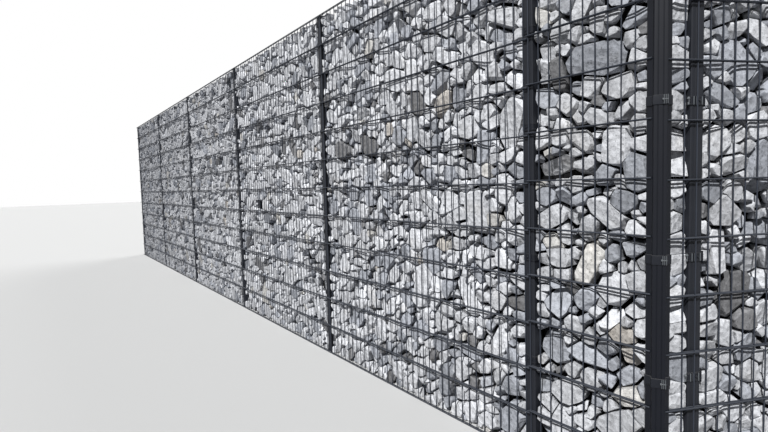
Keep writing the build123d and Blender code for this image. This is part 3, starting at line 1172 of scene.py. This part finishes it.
def add_collar(mesh, wing, far, face, level):
    """A collar round a post, with its beads and a bolt head on its outer face."""
    frame3, origin = post_frame(wing, far, face)
    outline = box_outline(COLLAR_HALF, -CLIP, POST_SIDE + CLIP)
    z0 = level - CLIP_HEIGHT / 2
    z1 = z0 + CLIP_HEIGHT
    add_prism(mesh, outline, frame3, origin, z0, z1, COLLAR_EDGE)
    bead = box_outline(COLLAR_HALF + BEAD_PROUD, -CLIP - BEAD_PROUD, BEAD_BACK)
    for z in (z0 + BEAD_FROM_RIM, z1 - BEAD_FROM_RIM):
        add_prism(mesh, bead, frame3, origin, z - BEAD_HALF, z + BEAD_HALF, 0.5)
    facing = np.array([frame3[0], frame3[2], -frame3[1]])
    where = origin + frame3[0] * COLLAR_BOLT_PLACE - frame3[1] * CLIP + UP * level
    add_worn(mesh, hexagon(8.0, -0.5, 2.6), facing, where, 0.5)


# The second post's collars have a plate, three ribs, and a bolt that stands upright beside them.
SECOND_RIBS = (-18.0, -7.0, 15.0)
RIB_WIDTH = 2.0
SIDE_BOLT = -COLLAR_HALF - 6.0


def add_second_fittings(collars, bolts, level):
    frame3, origin = post_frame(2, SECOND_FAR, "front")
    h = COLLAR_HALF
    plate = box_block(h - 1.0, h + 2.5, -CLIP, 14.0, level - 20.0, level + 20.0)
    add_worn(collars, plate, frame3, origin, 0.8)
    for x in SECOND_RIBS:
        rib = box_block(x, x + RIB_WIDTH, -CLIP - 3.0, -CLIP + 0.5, level - 14.0, level + 14.0)
        add_worn(bolts, rib, frame3, origin, 0.4)
    lug = box_block(-h - 9.0, -h + 1.0, -2.5, 1.5, level - 5.0, level + 5.0)
    add_worn(collars, lug, frame3, origin, 0.8)
    axis = origin + frame3[0] * SIDE_BOLT
    add_tube(bolts, axis + UP * (level - 13.0), axis + UP * (level + 13.0), 3.0, 12)
    add_worn(bolts, hexagon(9.0, level + 5.5, level + 10.0), frame3, axis, 0.5)


collars = Mesh()
for far in POST_FAR:
    for face in BOTH:
        for level in CLIP_LEVELS:
            add_collar(collars, 1, far, face, level)
build_piece("collars_wing_one", collars, clip_look, ["mesh_clips_wing_one"])
collars = Mesh()
bolts = Mesh()
for level in CORNER_LEVELS:
    add_collar(collars, 2, SECOND_FAR, "front", level)
    add_second_fittings(collars, bolts, level)
for face in BOTH:
    for level in CLIP_LEVELS:
        add_collar(collars, 2, WING_TWO_FAR, face, level)
build_piece("collars_wing_two", collars, clip_look, ["mesh_clips_wing_two"])

# The corner post and its bands, in the plane that halves the corner.
CORNER_X = np.array([cos(HALF), sin(HALF), 0.0])
CORNER_Y = np.array([-sin(HALF), cos(HALF), 0.0])
CORNER = np.array([CORNER_X, CORNER_Y, UP])
HERE = np.zeros(3)
BAND_RIBS = (8.0, 13.5, 19.0)
BAND_BOLT = (5.5, 22.0)


def build_corner_posts():
    right = [(x, y + NOSE_FACE) for x, y in groove(GROOVE_PLACES[1])]
    right += [
        (NOSE_HALF, NOSE_FACE),
        (NOSE_HALF, seat_line(NOSE_HALF)),
        (FLANGE_HALF, FLANGE_OUTER),
        (FLANGE_HALF, FLANGE_OUTER + FLANGE_THICKNESS),
        (NOSE_HALF, CORNER_BACK),
    ]
    mesh = Mesh()
    add_prism(mesh, rounded(mirrored(right), 2.2), CORNER, HERE, 0.0, POST_HEIGHT)
    # Its darker coat is painted shade on the posts' own coating.
    build_piece("corner_post_grooved", mesh, shaded_corner_look, ["corner_post"])
    inner_face = (WALL_DEPTH - MESH_DEPTH) / cos(HALF)
    outline = [(x, inner_face - y) for x, y in POST_OUTLINE]
    mesh = Mesh()
    add_prism(mesh, outline, CORNER, HERE, 0.0, POST_HEIGHT)
    build_piece("inner_corner_post_grooved", mesh, post_look, ["inner_corner_post"])


def build_corner_bands(bolts):
    right = [
        (NOSE_HALF + CLIP, NOSE_FACE - CLIP),
        (NOSE_HALF + CLIP, seat_line(NOSE_HALF) - CLIP),
        (FLANGE_HALF + CLIP, FLANGE_OUTER - CLIP),
        (FLANGE_HALF + CLIP, FLANGE_OUTER + FLANGE_THICKNESS),
    ]
    outline = rounded(mirrored(right), 2.5)
    face = NOSE_FACE - CLIP
    facing = np.array([CORNER_Y, UP, CORNER_X])
    mesh = Mesh()
    for level in CORNER_LEVELS:
        z0 = level - CLIP_HEIGHT / 2
        z1 = z0 + CLIP_HEIGHT
        add_prism(mesh, outline, CORNER, HERE, z0, z1, COLLAR_EDGE)
        for x in BAND_RIBS:
            rib = box_block(x, x + RIB_WIDTH, face - 5.0, face + 0.5, z0 + 1.0, z1 - 1.0)
            add_worn(bolts, rib, CORNER, HERE, 0.5)
        across = CORNER_Y * (face - 2.6) + UP * level
        add_tube(bolts, CORNER_X * BAND_BOLT[0] + across, CORNER_X * BAND_BOLT[1] + across, 1.5, 10)
        add_worn(bolts, hexagon(7.0, 4.2, 7.8), facing, across, 0.4)
    build_piece("corner_bands_bevelled", mesh, clip_look, ["corner_bands"])


build_corner_posts()
build_corner_bands(bolts)
build_piece("band_bolts", bolts, bolt_look, [])

# Caps keep their CAD shapes.
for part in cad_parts.values():
    if not part.hide_render:
        part.data.materials.clear()
        part.data.materials.append(cap_look)

# Floor, background and light. The floor looks pale but throws little light back on the wall.
FLOOR_HALF = 60.0
FLOOR_LIT = (0.10, 0.10, 0.105, 1.0)
FLOOR_SEEN = (0.56, 0.56, 0.555, 1.0)
FILL_COLOUR = (0.78, 0.88, 1.0, 1.0)
FILL_STRENGTH = 0.085


def seen_rays(tree):
    """1 for camera, glossy and transmission rays, which see the pale background, and 0 for the others."""
    rays = node(tree, "ShaderNodeLightPath").outputs
    first = calculated(tree, "MAXIMUM", rays["Is Camera Ray"], rays["Is Transmission Ray"])
    return calculated(tree, "MAXIMUM", first, rays["Is Glossy Ray"])


def make_floor():
    data = bpy.data.meshes.new("floor")
    s = FLOOR_HALF
    data.from_pydata([(-s, -s, 0), (s, -s, 0), (s, s, 0), (-s, s, 0)], [], [(0, 1, 2, 3)])
    floor = bpy.data.objects.new("floor", data)
    bpy.context.scene.collection.objects.link(floor)
    material, tree, shader = new_material("pale_floor")
    shader.inputs["Roughness"].default_value = 0.9
    feed(tree, shader.inputs["Base Color"], mixed(tree, seen_rays(tree), FLOOR_LIT, FLOOR_SEEN))
    data.materials.append(material)


def make_world():
    world = bpy.data.worlds.new("studio")
    bpy.context.scene.world = world
    world.use_nodes = True
    tree = world.node_tree
    tree.nodes.clear()
    fill = node(tree, "ShaderNodeBackground", Color=FILL_COLOUR, Strength=FILL_STRENGTH)
    white = node(tree, "ShaderNodeBackground", Color=(1.0, 1.0, 1.0, 1.0), Strength=1.0)
    mix = node(tree, "ShaderNodeMixShader")
    for number, source in enumerate((seen_rays(tree), fill.outputs[0], white.outputs[0])):
        feed(tree, mix.inputs[number], source)
    node(tree, "ShaderNodeOutputWorld", Surface=mix.outputs[0])


def add_sun(name, energy, angle, aim):
    light = bpy.data.lights.new(name, "SUN")
    light.energy = energy
    light.angle = radians(angle)
    lamp = bpy.data.objects.new(name, light)
    bpy.context.scene.collection.objects.link(lamp)
    lamp.rotation_mode = "QUATERNION"
    lamp.rotation_quaternion = Vector(aim).to_track_quat("-Z", "Y")


make_floor()
make_world()
add_sun("key", 4.9, 1.6, (-0.454, 0.891, -0.95))
add_sun("back", 1.9, 60.0, (0.3, -0.8, -0.42))
bpy.context.scene.view_settings.view_transform = "Standard"
